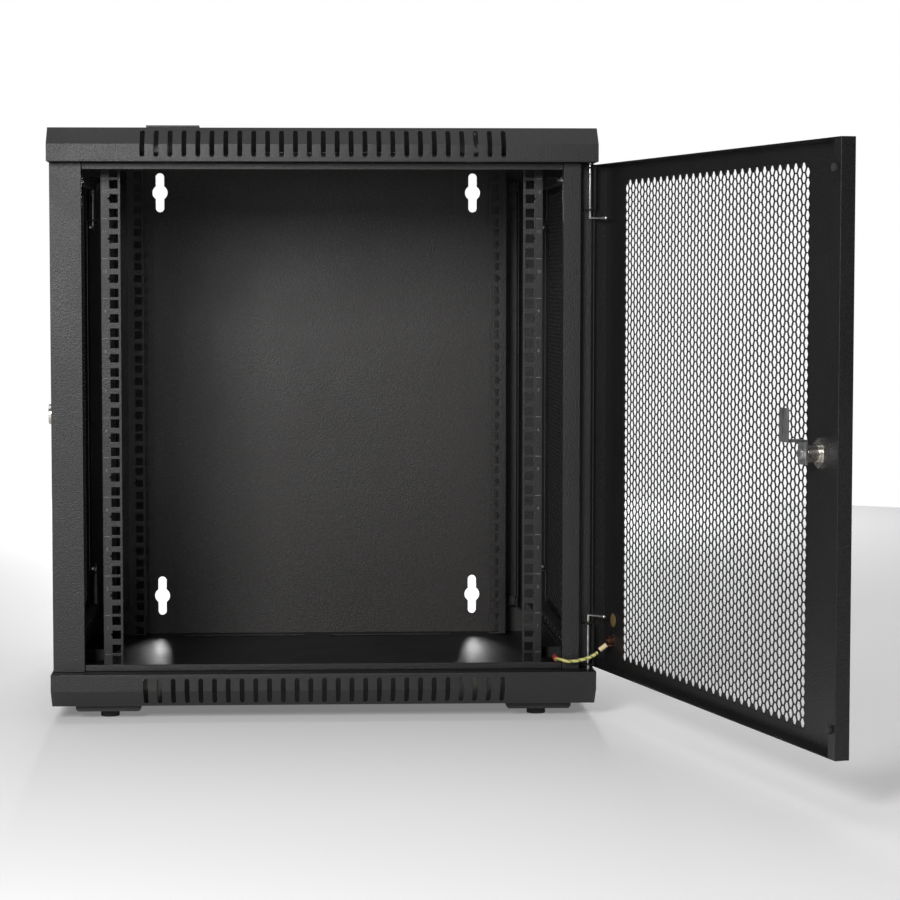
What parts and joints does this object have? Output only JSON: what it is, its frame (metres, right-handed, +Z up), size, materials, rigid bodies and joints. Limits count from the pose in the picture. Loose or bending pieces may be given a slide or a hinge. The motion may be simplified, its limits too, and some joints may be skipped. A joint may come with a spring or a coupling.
{
  "type": "network rack cabinet",
  "caption": "Wall-mounted 19-inch network rack cabinet with an open perforated front door, swing side panels, four slotted rack rails and chamfered caps.",
  "frame": {"origin": "centre of the rear panel's outer face, which lies against the wall", "axes": "+X to the right seen from the front, +Y backwards into the wall, +Z up"},
  "size_m": [0.7656, 1.1493, 0.6548],
  "materials": {
    "powder_coat": "fine sand-textured powder coat",
    "rail_coat": "fine sand-textured powder coat",
    "nickel_plate": "nickel plated, slightly warm",
    "zinc_plate": "bright zinc plated",
    "spring_steel": "drawn spring wire, zinc plated",
    "rubber": "matt black rubber",
    "copper": "dull copper-coloured plating",
    "wire_jacket": "green and yellow PVC jacket",
    "red_sleeve": "soft red PVC boot",
    "cream_sleeve": "cream crimp sleeve",
    "gold_label": "plain metallic gold sticker, no text",
    "print_white": "pale silk-screen ink for rail numerals"
  },
  "bodies": {
    "cabinet": {"top_cap": "powder_coat", "bottom_cap": "powder_coat", "roof_entry_plate": "powder_coat", "floor_entry_plate_left": "powder_coat", "floor_entry_plate_right": "powder_coat", "roof_blanking_cap": "powder_coat", "front_lintel": "powder_coat", "front_sill": "powder_coat", "rear_panel": "powder_coat", "earth_boot": "red_sleeve", "earth_wire": "wire_jacket", "front_post_left": "powder_coat", "rear_post_left": "powder_coat", "top_beam_left": "powder_coat", "bottom_beam_left": "powder_coat", "front_rail_left": "rail_coat", "rear_rail_left": "rail_coat", "foot_bracket_front_left": "powder_coat", "foot_bracket_rear_left": "powder_coat", "foot_front_left": "rubber", "foot_rear_left": "rubber", "front_post_right": "powder_coat", "rear_post_right": "powder_coat", "top_beam_right": "powder_coat", "bottom_beam_right": "powder_coat", "front_rail_right": "rail_coat", "rear_rail_right": "rail_coat", "foot_bracket_front_right": "powder_coat", "foot_bracket_rear_right": "powder_coat", "foot_front_right": "rubber", "foot_rear_right": "rubber"},
    "door": {"door_panel": "powder_coat", "door_bumper_upper": "rubber", "door_bumper_lower": "rubber", "lock_barrel": "nickel_plate", "lock_nut": "nickel_plate", "earth_terminal": "copper", "earth_sleeve": "cream_sleeve", "door_earth_nut": "copper", "door_spring_upper": "spring_steel", "door_spring_lower": "spring_steel"},
    "door_pin_upper": {"door_pin_upper": "zinc_plate"},
    "door_pin_lower": {"door_pin_lower": "zinc_plate"},
    "door_lock": {"lock_plug": "nickel_plate", "lock_cam": "zinc_plate", "lock_screw": "zinc_plate"},
    "side_left": {"side_panel_left": "powder_coat", "side_lock_barrel_left": "nickel_plate", "side_spring_upper_left": "spring_steel", "side_spring_lower_left": "spring_steel"},
    "side_lock_left": {"side_lock_cam_left": "nickel_plate"},
    "side_pin_upper_left": {"side_pin_upper_left": "zinc_plate"},
    "side_pin_lower_left": {"side_pin_lower_left": "zinc_plate"},
    "side_right": {"side_panel_right": "powder_coat", "side_lock_barrel_right": "nickel_plate", "side_spring_upper_right": "spring_steel", "side_spring_lower_right": "spring_steel"},
    "side_lock_right": {"side_lock_cam_right": "nickel_plate"},
    "side_pin_upper_right": {"side_pin_upper_right": "zinc_plate"},
    "side_pin_lower_right": {"side_pin_lower_right": "zinc_plate"}
  },
  "joints": [
    {"name": "door_hinge", "type": "hinge", "parent": "cabinet", "child": "door", "pos_m": [0.2932, -0.5781, 0], "axis": [0, 0, 1], "range_deg": [-104.4, 15.6], "deforming": ["earth_wire"]},
    {"name": "door_pin_upper_slide", "type": "slide", "parent": "door", "child": "door_pin_upper", "axis": [0, 0, -1], "range_m": [0, 0.014], "stiffness_N_per_m": 350, "springref_m": -0.012, "deforming": ["door_spring_upper"]},
    {"name": "door_pin_lower_slide", "type": "slide", "parent": "door", "child": "door_pin_lower", "axis": [0, 0, 1], "range_m": [0, 0.014], "stiffness_N_per_m": 350, "springref_m": -0.012, "deforming": ["door_spring_lower"]},
    {"name": "door_lock_turn", "type": "hinge", "parent": "door", "child": "door_lock", "pos_m": [0.4369, -1.08994, -0.006], "axis": [0.9686, 0.2487, 0], "range_deg": [0, 90]},
    {"name": "side_left_hinge", "type": "hinge", "parent": "cabinet", "child": "side_left", "pos_m": [-0.29, -0.052, 0], "axis": [0, 0, -1], "range_deg": [0, 95]},
    {"name": "side_left_lock_turn", "type": "hinge", "parent": "side_left", "child": "side_lock_left", "pos_m": [-0.29, -0.546, 0.0035], "axis": [1, 0, 0], "range_deg": [0, 90]},
    {"name": "side_left_pin_upper_slide", "type": "slide", "parent": "side_left", "child": "side_pin_upper_left", "axis": [0, 0, -1], "range_m": [0, 0.014], "stiffness_N_per_m": 350, "springref_m": -0.012, "deforming": ["side_spring_upper_left"]},
    {"name": "side_left_pin_lower_slide", "type": "slide", "parent": "side_left", "child": "side_pin_lower_left", "axis": [0, 0, 1], "range_m": [0, 0.014], "stiffness_N_per_m": 350, "springref_m": -0.012, "deforming": ["side_spring_lower_left"]},
    {"name": "side_right_hinge", "type": "hinge", "parent": "cabinet", "child": "side_right", "pos_m": [0.29, -0.052, 0], "axis": [0, 0, 1], "range_deg": [0, 95]},
    {"name": "side_right_lock_turn", "type": "hinge", "parent": "side_right", "child": "side_lock_right", "pos_m": [0.29, -0.546, 0.0035], "axis": [1, 0, 0], "range_deg": [0, 90]},
    {"name": "side_right_pin_upper_slide", "type": "slide", "parent": "side_right", "child": "side_pin_upper_right", "axis": [0, 0, -1], "range_m": [0, 0.014], "stiffness_N_per_m": 350, "springref_m": -0.012, "deforming": ["side_spring_upper_right"]},
    {"name": "side_right_pin_lower_slide", "type": "slide", "parent": "side_right", "child": "side_pin_lower_right", "axis": [0, 0, 1], "range_m": [0, 0.014], "stiffness_N_per_m": 350, "springref_m": -0.012, "deforming": ["side_spring_lower_right"]}
  ]
}
